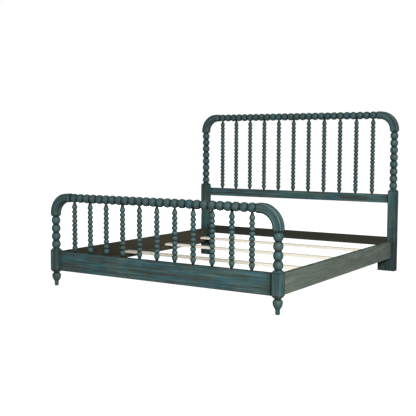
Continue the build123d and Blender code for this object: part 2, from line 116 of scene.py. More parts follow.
@dataclass
class Graph:
    """Writes nodes into one node tree and joins them.

    Attributes:
        tree: The tree of a material, a shader group or a geometry group.
    """

    tree: bpy.types.NodeTree

    def add(self, kind: str, **settings: object) -> bpy.types.Node:
        """Add a node.

        Args:
            kind: The node's type name.
            settings: Values of the node's own properties.

        Returns:
            The new node.
        """
        node = self.tree.nodes.new(kind)
        for name, value in settings.items():
            setattr(node, name, value)
        return node

    def feed(self, socket: Socket, value: object) -> None:
        """Join an output to a socket, or set the socket's own value.

        Args:
            socket: The input to fill.
            value: Another node's output, or whatever the input holds by itself.
        """
        if isinstance(value, Socket):
            self.tree.links.new(value, socket)
        elif isinstance(value, tuple) and socket.type == "RGBA":
            socket.default_value = (*value, 1.0)
        else:
            socket.default_value = value

    def math(self, operation: str, *values: Value, clamp: bool = False) -> Socket:
        """Work out a value.

        Args:
            operation: The name of the operation.
            values: Its inputs in order.
            clamp: Whether the result is kept between 0 and 1.

        Returns:
            The result's socket.
        """
        node = self.add("ShaderNodeMath", operation=operation, use_clamp=clamp)
        for socket, value in zip(node.inputs, values):
            self.feed(socket, value)
        return node.outputs[0]

    def smooth(self, value: Value, low: Value, high: Value) -> Socket:
        """Turn a value into a share that eases from 0 to 1.

        Args:
            value: The value.
            low: Where the share is 0.
            high: Where the share is 1, which may be the lower of the two.

        Returns:
            The share's socket.
        """
        node = self.add("ShaderNodeMapRange", interpolation_type="SMOOTHSTEP")
        for name, given in (("Value", value), ("From Min", low), ("From Max", high)):
            self.feed(node.inputs[name], given)
        return node.outputs["Result"]

    def noise(self, position: Socket, kind: Noise) -> Socket:
        """Spread noise over a position.

        Args:
            position: The position in metres.
            kind: The noise's size and character.

        Returns:
            The noise's socket.
        """
        scaled = self.add("ShaderNodeVectorMath", operation="MULTIPLY")
        self.feed(scaled.inputs[0], position)
        self.feed(scaled.inputs[1], kind.cells)
        node = self.add("ShaderNodeTexNoise")
        self.feed(node.inputs["Vector"], scaled.outputs[0])
        self.feed(node.inputs["Scale"], 1.0)
        self.feed(node.inputs["Detail"], kind.detail)
        self.feed(node.inputs["Roughness"], kind.roughness)
        return node.outputs["Fac"]

    def blend(self, share: Value, low: Colour | Socket, high: Colour | Socket) -> Socket:
        """Mix two colours.

        Args:
            share: 0 for the first colour and 1 for the second.
            low: The first colour, or its socket.
            high: The second colour, or its socket.

        Returns:
            The mixed colour's socket.
        """
        node = self.add("ShaderNodeMix", data_type="RGBA")
        colours = [socket for socket in node.inputs if socket.type == "RGBA"]
        self.feed(node.inputs[0], share)
        self.feed(colours[0], low)
        self.feed(colours[1], high)
        return next(socket for socket in node.outputs if socket.type == "RGBA")

    def group(self, made: bpy.types.NodeTree, **values: object) -> bpy.types.Node:
        """Place a shader group and fill its inputs.

        Args:
            made: The group's tree.
            values: Its inputs, with an underscore for each space in a name.

        Returns:
            The group's node.
        """
        node = self.add("ShaderNodeGroup", node_tree=made)
        for name, value in values.items():
            self.feed(node.inputs[name.replace("_", " ")], value)
        return node


def new_group(
    name: str, inputs: dict[str, str], outputs: dict[str, str]
) -> tuple[Graph, bpy.types.Node, bpy.types.Node]:
    """Start a shader group.

    Args:
        name: The group's name.
        inputs: Names and kinds of its inputs.
        outputs: Names and kinds of its outputs.

    Returns:
        The group's graph, its input node and its output node.
    """
    tree = bpy.data.node_groups.new(name, "ShaderNodeTree")
    for way, sockets in (("INPUT", inputs), ("OUTPUT", outputs)):
        for label, kind in sockets.items():
            tree.interface.new_socket(label, in_out=way, socket_type=f"NodeSocket{kind}")
    graph = Graph(tree)
    return graph, graph.add("NodeGroupInput"), graph.add("NodeGroupOutput")


# The noises that make up the look of wood, with the grain along Z.
GRAIN_NOISES = {
    "Fibre": Noise((300.0, 300.0, 10.0), 3.0, 0.6),
    "Figure": Noise((62.0, 62.0, 2.4), 4.0, 0.6),
    "Cloud": Noise((18.0, 18.0, 7.0), 3.0, 0.5),
    "Hue": Noise((13.0, 11.0, 12.0), 1.0, 0.5),
}


def build_grain_group() -> bpy.types.NodeTree:
    """Make the group that gives wood its fibres, figure, clouds and changes of hue.

    Returns:
        The group. Its position input has the grain along Z.
    """
    outputs = {name: "Float" for name in GRAIN_NOISES}
    graph, given, result = new_group("wood_grain", {"Position": "Vector"}, outputs)
    for name, kind in GRAIN_NOISES.items():
        graph.feed(result.inputs[name], graph.noise(given.outputs["Position"], kind))
    return graph.tree


def build_arris_group() -> bpy.types.NodeTree:
    """Make the group that finds the long edges of a chamfered bar.

    Returns:
        The group. Its inputs are the depths below the bar's two pairs of faces, the
        width of the chamfer, how far outside the chamfer the wear is darkest, and how
        far the wear spreads. It also gives the share of the chamfer's own face.
    """
    lengths = ("Depth A", "Depth B", "Chamfer", "Inset", "Spread")
    inputs = {name: "Float" for name in lengths}
    graph, given, result = new_group("worn_arris", inputs, {"Arris": "Float", "Bevel": "Float"})
    inner = graph.math("MAXIMUM", given.outputs["Depth A"], given.outputs["Depth B"])
    line = graph.math("ADD", given.outputs["Chamfer"], given.outputs["Inset"])
    away = graph.math("ABSOLUTE", graph.math("SUBTRACT", inner, line))
    far = graph.smooth(away, 0.0, given.outputs["Spread"])
    share = graph.math("DIVIDE", inner, given.outputs["Chamfer"])
    graph.feed(result.inputs["Arris"], graph.math("SUBTRACT", 1.0, far))
    graph.feed(result.inputs["Bevel"], graph.smooth(share, *BEVEL_FADE))
    return graph.tree


def build_groove_group() -> bpy.types.NodeTree:
    """Make the group that tells the crests of turned beads from the grooves between. The grooves
    take glaze with painted shade, and the crests take dry brush with a painted highlight.

    Returns:
        The group. Its inputs are the distance from the turning axis and the radii of
        the crest and the neck.
    """
    graph, given, result = new_group(
        "turned_groove",
        {"Radius": "Float", "Crest": "Float", "Neck": "Float"},
        {"Groove": "Float", "Crown": "Float"},
    )
    span = graph.math("SUBTRACT", given.outputs["Crest"], given.outputs["Neck"])
    above = graph.math("SUBTRACT", given.outputs["Radius"], given.outputs["Neck"])
    rise = graph.math("DIVIDE", above, span, clamp=True)
    groove = graph.math("SUBTRACT", 1.0, graph.smooth(rise, *GROOVE_FADE))
    graph.feed(result.inputs["Groove"], groove)
    graph.feed(result.inputs["Crown"], graph.smooth(rise, *CROWN_FADE))
    return graph.tree


@dataclass(frozen=True)
class Layer:
    """A colour that shows over the paint where a noise is high or low.

    Attributes:
        colour: The colour's input.
        noise: The input of the noise that places it.
        begins: The noise's value where the colour begins to show.
        full: The noise's value where it shows most.
        share: How much of it shows there.
        streaky: Whether it belongs to the streaks of the grain.
    """

    colour: str
    noise: str
    begins: float
    full: float
    share: float
    streaky: bool


LAYERS = (
    Layer("Shade", "Cloud", 0.35, 0.65, 1.0, False),
    Layer("Olive", "Hue", 0.47, 0.60, 0.60, False),
    Layer("Streak", "Figure", 0.50, 0.60, 0.85, True),
    Layer("Dry Brush", "Figure", 0.46, 0.36, 0.38, True),
    Layer("Undercoat", "Fibre", 0.48, 0.72, 0.45, True),
)

# The fibres that take the dry brush and painted highlight on crests, and how much of them they
# take.
BRUSH_AND_HIGHLIGHT_FADE = (0.60, 0.35)
BRUSH_AND_HIGHLIGHT_SHARE = 0.42

# The clouds between which rubbed edges go from least to fully worn.
RUB_FADE = (0.35, 0.60)
RUB_LEAST = 0.55

# How much of the glaze and painted shade covers the paint at the bottom of a groove.
GLAZE_AND_SHADE_SHARE = 0.94

# The paint's roughness, and what fibres and glaze add to it.
PAINT_ROUGHNESS = 0.40
FIBRE_ROUGHNESS = 0.16
GLAZE_ROUGHNESS = 0.14


def build_paint_group() -> bpy.types.NodeTree:
    """Make the group that layers thin paint over a brown undercoat.

    Returns:
        The group. It puts out the layers' colour, roughness and height.
    """
    values = (*GRAIN_NOISES, "Groove", "Crown", "Arris", "Streaks")
    colours = ("Paint", "Shade", "Dry Brush", "Olive", "Streak", "Undercoat")
    inputs = {name: "Float" for name in values} | {name: "Color" for name in colours}
    outputs = {"Colour": "Color", "Roughness": "Float", "Height": "Float"}
    graph, given, result = new_group("layered_paint", inputs, outputs)
    fibre = given.outputs["Fibre"]
    figure = given.outputs["Figure"]
    coat = given.outputs["Paint"]
    for layer in LAYERS:
        share = layer.share
        if layer.streaky:
            share = graph.math("MULTIPLY", given.outputs["Streaks"], layer.share)
        placed = graph.smooth(given.outputs[layer.noise], layer.begins, layer.full)
        shown = graph.math("MULTIPLY", placed, share)
        coat = graph.blend(shown, coat, given.outputs[layer.colour])
    # Dry brush on crests and chamfers, which is also a painted highlight there.
    brush_and_highlight = graph.math("MULTIPLY", given.outputs["Crown"], graph.smooth(fibre, *BRUSH_AND_HIGHLIGHT_FADE))
    brush_and_highlight = graph.math("MULTIPLY", brush_and_highlight, BRUSH_AND_HIGHLIGHT_SHARE)
    coat = graph.blend(brush_and_highlight, coat, given.outputs["Dry Brush"])
    rubbed = graph.smooth(given.outputs["Cloud"], *RUB_FADE)
    rubbed = graph.math("MULTIPLY_ADD", rubbed, 1.0 - RUB_LEAST, RUB_LEAST)
    worn = graph.math("MULTIPLY", given.outputs["Arris"], rubbed)
    # Glaze with painted shade in grooves and beside joints, the darkening low on legs, and worn
    # arrises.
    glazed = graph.math("MULTIPLY", given.outputs["Groove"], GLAZE_AND_SHADE_SHARE)
    glaze = graph.math("MAXIMUM", glazed, worn)
    coat = graph.blend(glaze, coat, given.outputs["Undercoat"])
    roughness = graph.math("MULTIPLY_ADD", fibre, FIBRE_ROUGHNESS, PAINT_ROUGHNESS)
    roughness = graph.math("MULTIPLY_ADD", glaze, GLAZE_ROUGHNESS, roughness)
    height = graph.math("MULTIPLY_ADD", fibre, 0.5, graph.math("MULTIPLY", figure, 0.5))
    graph.feed(result.inputs["Colour"], coat)
    graph.feed(result.inputs["Roughness"], roughness)
    graph.feed(result.inputs["Height"], height)
    return graph.tree


GRAIN_GROUP = build_grain_group()
ARRIS_GROUP = build_arris_group()
GROOVE_GROUP = build_groove_group()
PAINT_GROUP = build_paint_group()


@dataclass
class WearAndPaintedLight:
    """Where a piece's shape holds glaze and painted shade, takes dry brush and a painted
    highlight, or loses paint, as shares over its surface.

    Attributes:
        groove: 1 at the bottom of a groove or in a corner, where glaze and painted shade lie.
        crown: 1 on the crest of a bead or on a chamfer, where dry brush and a painted highlight
            lie.
        arris: 1 on a long edge.
        bare: 1 where the paint was never put on.
        streaks: How strongly the grain's streaks show.
    """

    groove: Value = 0.0
    crown: Value = 0.0
    arris: Value = 0.0
    bare: Value = 0.0
    streaks: Value = 1.0


@dataclass
class Surface:
    """A material in the making, with its position sockets.

    Attributes:
        graph: The material's nodes.
        material: The material itself.
        position: Object coordinates in metres.
        x: The position's first part.
        y: The position's second part.
        z: The position's third part.
    """

    graph: Graph
    material: bpy.types.Material
    position: Socket
    x: Socket
    y: Socket
    z: Socket

    @classmethod
    def start(cls, name: str) -> "Surface":
        """Start a material.

        Args:
            name: The material's name.

        Returns:
            The surface, with its Principled BSDF joined to the output.
        """
        material = bpy.data.materials.new(name)
        material.use_nodes = True
        graph = Graph(material.node_tree)
        position = graph.add("ShaderNodeTexCoord").outputs["Object"]
        parts = graph.add("ShaderNodeSeparateXYZ")
        graph.feed(parts.inputs[0], position)
        return cls(graph, material, position, *parts.outputs)

    @property
    def shader(self) -> bpy.types.Node:
        """The material's Principled BSDF."""
        return self.material.node_tree.nodes["Principled BSDF"]

    def grain(self, grain: Grain) -> bpy.types.Node:
        """Place the grain group with the grain along a direction.

        Args:
            grain: The direction.

        Returns:
            The group's node.
        """
        parts = {"X": self.x, "Y": self.y, "Z": self.z}
        return self.grain_from(*(parts[axis] for axis in grain.value))

    def grain_from(self, first: Value, second: Value, along: Value) -> bpy.types.Node:
        """Place the grain group at a position of its own.

        Args:
            first: Distance across the grain.
            second: Distance across the grain, square to the first.
            along: Distance along the grain.

        Returns:
            The group's node.
        """
        turned = self.graph.add("ShaderNodeCombineXYZ")
        for socket, value in zip(turned.inputs, (first, second, along)):
            self.graph.feed(socket, value)
        return self.graph.group(GRAIN_GROUP, Position=turned.outputs[0])

    def offset(self, part: Value, centre: float) -> Socket:
        """Give the distance of one part of the position from a centre."""
        return self.graph.math("ABSOLUTE", self.graph.math("SUBTRACT", part, centre))

    def depth(self, part: Value, centre: float, half: float) -> Socket:
        """Give how far a point lies below the nearer of two faces."""
        return self.graph.math("SUBTRACT", half, self.offset(part, centre))

    def radius(self, first: Value, second: Value, centre: Pair) -> Socket:
        """Give the distance from a turning axis.

        Args:
            first: One part of the position, square to the axis.
            second: The other part that is square to it.
            centre: Where the axis lies along those two parts.

        Returns:
            The distance's socket.
        """
        squares = [
            self.graph.math("POWER", self.offset(part, middle), 2.0)
            for part, middle in zip((first, second), centre)
        ]
        return self.graph.math("SQRT", self.graph.math("ADD", *squares))

    def thin_glaze(self, groove: Value) -> Socket:
        """Lay the turned parts' thin glaze under the glaze and painted shade in their grooves."""
        return self.graph.math("MULTIPLY_ADD", groove, 1.0 - THIN_GLAZE, THIN_GLAZE)

    def turned_glaze_and_light(self, radius: Value, crest: float, neck: float) -> WearAndPaintedLight:
        """Give the glaze, painted shade, dry brush and painted highlight of a surface that is
        turned all over.

        Args:
            radius: The distance from the turning axis.
            crest: The radius of the beads' crests.
            neck: The radius between the beads.

        Returns:
            The marks: glaze and painted shade in the grooves, dry brush and a painted highlight on
                the crests, and faint streaks.
        """
        turned = self.graph.group(GROOVE_GROUP, Radius=radius, Crest=crest, Neck=neck)
        glaze = self.thin_glaze(turned.outputs["Groove"])
        return WearAndPaintedLight(groove=glaze, crown=turned.outputs["Crown"], streaks=TURNED_STREAKS)

    def low_darkening(self, top: float, share: float) -> Socket:
        """Give a share of darkening that sets in below a height."""
        return self.graph.math("MULTIPLY", self.graph.smooth(self.z, top, top * LOW_FADE), share)

    def bump(self, height: Value, distance: float, strength: float) -> None:
        """Raise the surface by a height.

        Args:
            height: The height, from 0 to 1.
            distance: What a height of 1 is, in metres.
            strength: How much of it shows.
        """
        node = self.graph.add("ShaderNodeBump")
        node.inputs["Strength"].default_value = strength
        node.inputs["Distance"].default_value = distance
        self.graph.feed(node.inputs["Height"], height)
        self.graph.feed(self.shader.inputs["Normal"], node.outputs["Normal"])


@dataclass(frozen=True)
class PaintFinish:
    """Thin satin paint, rubbed back over a brown undercoat.

    Attributes:
        paint: The paint's main colour.
        shade: The colour where the paint is thicker.
        dry_brush_and_highlight: The pale dry-brush colour over streaks, and over crests and
            chamfers, where it is also a painted highlight.
        olive: The colour of patches where the paint has yellowed.
        streak: The brown of the grain's streaks.
        undercoat: The near-black brown of glaze and rubbed edges, which also gives the painted
            shade in grooves and at joints.
        bare: The stain of faces that were left unpainted.
        sheen: The specular level.
        relief: How high the grain stands, in metres.
        relief_share: How much of the relief shows.
    """

    paint: Colour = (0.0422, 0.1035, 0.1158)
    shade: Colour = (0.0271, 0.0746, 0.0883)
    dry_brush_and_highlight: Colour = (0.1176, 0.1863, 0.1831)
    olive: Colour = (0.0593, 0.0914, 0.0758)
    streak: Colour = (0.0422, 0.0456, 0.0378)
    undercoat: Colour = (0.007, 0.010, 0.009)
    bare: Colour = (0.045, 0.042, 0.028)
    sheen: float = 0.20
    relief: float = 0.0005
    relief_share: float = 0.5

    def dress(self, surface: Surface, wood: bpy.types.Node, wear: WearAndPaintedLight) -> None:
        """Fill a material with the finish.

        Args:
            surface: The material in the making.
            wood: The placed grain group.
            wear: Where the piece's shape holds glaze and painted shade, takes dry brush and a
                painted highlight, or loses paint.
        """
        graph = surface.graph
        paint = graph.group(
            PAINT_GROUP,
            **{name: wood.outputs[name] for name in GRAIN_NOISES},
            Groove=wear.groove,
            Crown=wear.crown,
            Arris=wear.arris,
            Streaks=wear.streaks,
            Paint=self.paint,
            Shade=self.shade,
            Dry_Brush=self.dry_brush_and_highlight,
            Olive=self.olive,
            Streak=self.streak,
            Undercoat=self.undercoat,
        )
        colour = paint.outputs["Colour"]
        if isinstance(wear.bare, Socket):
            colour = graph.blend(wear.bare, colour, self.bare)
        graph.feed(surface.shader.inputs["Base Color"], colour)
        graph.feed(surface.shader.inputs["Roughness"], paint.outputs["Roughness"])
        surface.shader.inputs["Specular IOR Level"].default_value = self.sheen
        surface.bump(paint.outputs["Height"], self.relief, self.relief_share)


@dataclass(frozen=True)
class WoodFinish:
    """Plain or stained wood with its grain showing.

    Attributes:
        light: The colour between the grain's streaks.
        dark: The colour of the streaks.
        roughness: The roughness between the streaks.
        relief: How high the grain stands, in metres.
        streak_fade: The figure's values between which a streak darkens.
        fibre_fade: The fibres' values between which they darken.
        fibre_share: How much of the darkening is due to the fibres.
        rubbed: How pale the edges are rubbed.
        rubbed_gain: How much lighter than the wood a rubbed edge is.
        streak_roughness: What the streaks add to the roughness.
        sheen: The specular level.
        relief_share: How much of the relief shows.
    """

    light: Colour
    dark: Colour
    roughness: float
    relief: float
    streak_fade: Pair = (0.35, 0.65)
    fibre_fade: Pair = (0.25, 0.75)
    fibre_share: float = 0.35
    rubbed: float = 0.35
    rubbed_gain: float = 1.5
    streak_roughness: float = 0.15
    sheen: float = 0.35
    relief_share: float = 0.6

    def dress(self, surface: Surface, wood: bpy.types.Node, wear: WearAndPaintedLight) -> None:
        """Fill a material with the finish.

        Args:
            surface: The material in the making.
            wood: The placed grain group.
            wear: Where the piece's shape loses its colour.
        """
        graph = surface.graph
        streak = graph.smooth(wood.outputs["Figure"], *self.streak_fade)
        fine = graph.smooth(wood.outputs["Fibre"], *self.fibre_fade)
        streak = graph.math("MULTIPLY", streak, 1.0 - self.fibre_share)
        share = graph.math("MULTIPLY_ADD", fine, self.fibre_share, streak)
        colour = graph.blend(share, self.light, self.dark)
        pale = graph.math("MULTIPLY", wear.arris, self.rubbed)
        palest = tuple(min(1.0, part * self.rubbed_gain) for part in self.light)
        colour = graph.blend(pale, colour, palest)
        roughness = graph.math("MULTIPLY_ADD", share, self.streak_roughness, self.roughness)
        graph.feed(surface.shader.inputs["Base Color"], colour)
        graph.feed(surface.shader.inputs["Roughness"], roughness)
        surface.shader.inputs["Specular IOR Level"].default_value = self.sheen
        surface.bump(share, self.relief, self.relief_share)


@dataclass(frozen=True)
class MetalFinish:
    """Plated or plain metal with a little unevenness.

    Attributes:
        colour: The metal's colour.
        dull: The colour of its duller patches.
        roughness: The roughness of the bright patches.
        patches: The noise that places the dull patches.
        fade: The noise's values between which a patch dulls.
        dull_roughness: What dull patches add to the roughness.
        relief: How high the patches stand, in metres.
        relief_share: How much of the relief shows.
    """

    colour: Colour
    dull: Colour
    roughness: float
    patches: Noise = Noise((900.0,) * 3, 3.0, 0.6)
    fade: Pair = (0.35, 0.65)
    dull_roughness: float = 0.15
    relief: float = 0.00005
    relief_share: float = 0.4

    def dress(self, surface: Surface) -> None:
        """Fill a material with the finish.

        Args:
            surface: The material in the making.
        """
        graph = surface.graph
        patches = graph.noise(surface.position, self.patches)
        share = graph.smooth(patches, *self.fade)
        colour = graph.blend(share, self.colour, self.dull)
        roughness = graph.math("MULTIPLY_ADD", share, self.dull_roughness, self.roughness)
        graph.feed(surface.shader.inputs["Base Color"], colour)
        graph.feed(surface.shader.inputs["Roughness"], roughness)
        surface.shader.inputs["Metallic"].default_value = 1.0
        surface.bump(patches, self.relief, self.relief_share)


@dataclass(frozen=True)
class NylonFinish:
    """Moulded nylon with a fine texture.

    Attributes:
        colour: The nylon's colour.
        scuffed: The colour of its scuffed patches.
        roughness: The roughness between the patches.
        scuffed_roughness: What scuffs add to the roughness.
        texture: The noise of the fine texture.
        scuffs: The noise that places the scuffed patches.
        scuff_fade: The noise's values between which a scuff shows.
        relief: How high the texture stands, in metres.
        relief_share: How much of the relief shows.
    """

    colour: Colour
    scuffed: Colour
    roughness: float = 0.45
    scuffed_roughness: float = 0.2
    texture: Noise = Noise((1500.0,) * 3, 2.0, 0.5)
    scuffs: Noise = Noise((200.0,) * 3, 3.0, 0.5)
    scuff_fade: Pair = (0.45, 0.75)
    relief: float = 0.00008
    relief_share: float = 0.5

    def dress(self, surface: Surface) -> None:
        """Fill a material with the finish.

        Args:
            surface: The material in the making.
        """
        graph = surface.graph
        texture = graph.noise(surface.position, self.texture)
        scuffs = graph.noise(surface.position, self.scuffs)
        share = graph.smooth(scuffs, *self.scuff_fade)
        colour = graph.blend(share, self.colour, self.scuffed)
        roughness = graph.math("MULTIPLY_ADD", share, self.scuffed_roughness, self.roughness)
        graph.feed(surface.shader.inputs["Base Color"], colour)
        graph.feed(surface.shader.inputs["Roughness"], roughness)
        surface.bump(texture, self.relief, self.relief_share)


PAINT = PaintFinish()
# The side rails' paint is lighter and greyer than the rest: partly their own paint, partly painted
# light on their lit outer faces.
SIDE_PAINT_AND_LIGHT = PaintFinish(
    paint=(0.1214, 0.1532, 0.1322),
    shade=(0.0961, 0.1288, 0.1130),
    dry_brush_and_highlight=(0.1921, 0.2207, 0.1901),
    olive=(0.1088, 0.1288, 0.1002),
    streak=(0.0942, 0.1117, 0.0942),
)
PLUG_PAINT = PaintFinish(paint=(0.022, 0.036, 0.036), shade=(0.016, 0.028, 0.028))
DARK_STAIN = WoodFinish((0.0258, 0.0298, 0.0214), (0.0149, 0.0173, 0.0126), 0.45, 0.0005)
BROWN_STAIN = WoodFinish((0.056, 0.051, 0.034), (0.038, 0.035, 0.024), 0.50, 0.0005)
PALE_WOOD = WoodFinish((0.85, 0.81, 0.70), (0.80, 0.75, 0.62), 0.60, 0.0002)
BEECH = WoodFinish((0.55, 0.38, 0.23), (0.46, 0.30, 0.17), 0.55, 0.0003)
ZINC = MetalFinish((0.66, 0.66, 0.64), (0.50, 0.50, 0.49), 0.28)
BRASS = MetalFinish((0.72, 0.55, 0.26), (0.55, 0.40, 0.18), 0.30)
NYLON = NylonFinish((0.030, 0.030, 0.030), (0.075, 0.072, 0.068))


def wear_finish(node: str, surface: Surface) -> None:
    """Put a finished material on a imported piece.

    Args:
        node: The piece's name.
        surface: The finished material.
    """
    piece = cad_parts[node]
    piece.data.materials.clear()
    piece.data.materials.append(surface.material)
    LOG.info("%s wears %s", node, surface.material.name)


def centre_of(node: str) -> Vector:
    """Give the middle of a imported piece's box."""
    low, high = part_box(node)
    return (low + high) / 2


@dataclass
class TurnedRail:
    """A turned top rail between two elbows.

    Attributes:
        board: The board that it tops, headboard or footboard.
        neck_share: The neck's radius as a share of the crest's.
    """

    board: str
    neck_share: float = 42.0 / 69.0

    def dress(self) -> None:
        """Give the rail its paint, with glaze and painted shade in the grooves and dry brush and a
        painted highlight on the crests.
        """
        node = f"{self.board}_top_rail"
        low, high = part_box(node)
        crest = (high.y - low.y) / 2
        surface = Surface.start(node)
        middle = ((low.y + high.y) / 2, high.z - crest)
        radius = surface.radius(surface.y, surface.z, middle)
        wear = surface.turned_glaze_and_light(radius, crest, crest * self.neck_share)
        PAINT.dress(surface, surface.grain(Grain.ACROSS), wear)
        wear_finish(node, surface)


@dataclass
class Post:
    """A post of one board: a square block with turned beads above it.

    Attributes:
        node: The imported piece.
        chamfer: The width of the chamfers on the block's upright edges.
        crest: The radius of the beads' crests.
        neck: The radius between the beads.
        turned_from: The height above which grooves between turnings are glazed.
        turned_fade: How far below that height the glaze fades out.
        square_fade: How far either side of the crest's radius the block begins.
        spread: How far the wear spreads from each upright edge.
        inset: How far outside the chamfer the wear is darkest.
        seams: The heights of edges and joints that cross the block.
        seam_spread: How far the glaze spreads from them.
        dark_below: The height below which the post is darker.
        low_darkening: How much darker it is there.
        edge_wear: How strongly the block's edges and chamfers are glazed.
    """

    node: str
    chamfer: float
    crest: float = 0.0345
    neck: float = 0.021
    turned_from: float = 0.096
    turned_fade: float = 0.010
    square_fade: float = 0.0015
    spread: float = 0.0060
    inset: float = 0.0020
    seams: tuple[float, ...] = ()
    seam_spread: float = 0.0045
    dark_below: float = 0.0
    low_darkening: float = 0.66
    edge_wear: float = 0.45

    def dress(self) -> None:
        """Give the post its paint, with glaze and painted shade in the grooves, dry brush and a
        painted highlight on the crests, and wear on the edges.
        """
        low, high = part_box(self.node)
        half = (high.x - low.x) / 2
        centre = centre_of(self.node)
        surface = Surface.start(self.node)
        graph = surface.graph
        radius = surface.radius(surface.x, surface.y, (centre.x, centre.y))
        turned = graph.group(GROOVE_GROUP, Radius=radius, Crest=self.crest, Neck=self.neck)
        above = graph.smooth(surface.z, self.turned_from - self.turned_fade, self.turned_from)
        edges = graph.group(
            ARRIS_GROUP,
            Depth_A=surface.depth(surface.x, centre.x, half),
            Depth_B=surface.depth(surface.y, centre.y, half),
            Chamfer=self.chamfer,
            Inset=self.inset,
            Spread=self.spread,
        )
        lines = graph.math("MULTIPLY", edges.outputs["Arris"], self.edge_wear)
        for height in self.seams:
            away = graph.smooth(surface.offset(surface.z, height), 0.0, self.seam_spread)
            lines = graph.math("MAXIMUM", lines, graph.math("SUBTRACT", 1.0, away))
        square = graph.smooth(radius, self.crest - self.square_fade, self.crest + self.square_fade)
        turned_only = graph.math("SUBTRACT", 1.0, square)
        grooves = graph.math("MULTIPLY", turned.outputs["Groove"], above)
        # Glaze in the grooves between turnings, which is also painted shade there.
        glaze = graph.math("MULTIPLY", surface.thin_glaze(grooves), turned_only)
        bevels = graph.math("MULTIPLY", edges.outputs["Bevel"], square)
        bevels = graph.math("MULTIPLY", bevels, self.edge_wear)
        groove = graph.math("MAXIMUM", glaze, bevels)
        if self.dark_below:
            low_darkening = surface.low_darkening(self.dark_below, self.low_darkening)
            groove = graph.math("MAXIMUM", groove, low_darkening)
        wear = WearAndPaintedLight(
            groove=groove,
            crown=graph.math("MULTIPLY", turned.outputs["Crown"], turned_only),
            arris=graph.math("MULTIPLY", lines, square),
            streaks=graph.math("MULTIPLY_ADD", square, 1.0 - TURNED_STREAKS, TURNED_STREAKS),
        )
        PAINT.dress(surface, surface.grain(Grain.UPRIGHT), wear)
        wear_finish(self.node, surface)


@dataclass
class Elbow:
    """A square elbow from a post round to the top rail.

    Attributes:
        node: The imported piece.
        side: -1 for the left of the bed and 1 for the right.
        bend: The radius of the elbow's centre line.
        chamfer: The width of the chamfers on its long edges.
        bevel: How far the glaze reaches from its bevelled ends.
        full_glaze: How far from those ends the glaze is full.
        spread: How far the wear spreads from each edge.
        inset: How far outside the chamfer the wear is darkest.
        fineness: How much finer its grain is than the straight pieces'.
    """

    node: str
    side: int
    bend: float = 0.131
    chamfer: float = 0.009
    bevel: float = 0.006
    full_glaze: float = 0.002
    spread: float = 0.0048
    inset: float = 0.0020
    fineness: float = 1.5

    def dress(self) -> None:
        """Give the elbow its paint, with worn edges, glazed ends, and dry brush on the chamfers
        that is also a painted highlight.
        """
        low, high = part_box(self.node)
        half = (high.y - low.y) / 2
        outer = high.x if self.side > 0 else low.x
        inner = low.x if self.side > 0 else high.x
        corner_x = outer - self.side * (half + self.bend)
        corner_z = high.z - half - self.bend
        surface = Surface.start(self.node)
        graph = surface.graph
        from_corner = graph.math("SUBTRACT", surface.x, corner_x)
        outward = graph.math("MULTIPLY", from_corner, float(self.side))
        upward = graph.math("SUBTRACT", surface.z, corner_z)
        limited = [graph.math("MAXIMUM", part, 0.0) for part in (outward, upward)]
        reach = [graph.math("POWER", part, 2.0) for part in limited]
        around = graph.math("SUBTRACT", graph.math("SQRT", graph.math("ADD", *reach)), self.bend)
        edges = graph.group(
            ARRIS_GROUP,
            Depth_A=surface.depth(around, 0.0, half),
            Depth_B=surface.depth(surface.y, (low.y + high.y) / 2, half),
            Chamfer=self.chamfer,
            Inset=self.inset,
            Spread=self.spread,
        )
        post_end = graph.smooth(surface.z, low.z + self.bevel, low.z + self.full_glaze)
        rail_end = graph.smooth(surface.offset(surface.x, inner), self.bevel, self.full_glaze)
        wear = WearAndPaintedLight(
            groove=graph.math("MAXIMUM", post_end, rail_end),
            # The chamfers take the dry brush, which is a painted highlight there.
            crown=edges.outputs["Bevel"],
            arris=edges.outputs["Arris"],
        )
        bend_angle = graph.math("ARCTAN2", *limited)
        past_bend = [graph.math("MINIMUM", part, 0.0) for part in (outward, upward)]
        straight = graph.math("ADD", *past_bend)
        along = graph.math("MULTIPLY_ADD", bend_angle, self.bend, straight)
        fine = [graph.math("MULTIPLY", part, self.fineness) for part in (around, surface.y)]
        PAINT.dress(surface, surface.grain_from(*fine, along), wear)
        wear_finish(self.node, surface)


@dataclass
class Spindle:
    """A turned spindle of one board.

    Attributes:
        node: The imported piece.
        crest: The radius of its beads' crests.
        neck: The radius between its beads.
    """

    node: str
    crest: float = 0.021
    neck: float = 0.0115

    def dress(self) -> None:
        """Give the spindle its paint, with glaze and painted shade in the grooves and dry brush
        and a painted highlight on the crests.
        """
        centre = centre_of(self.node)
        surface = Surface.start(self.node)
        radius = surface.radius(surface.x, surface.y, (centre.x, centre.y))
        wear = surface.turned_glaze_and_light(radius, self.crest, self.neck)
        PAINT.dress(surface, surface.grain(Grain.UPRIGHT), wear)
        wear_finish(self.node, surface)


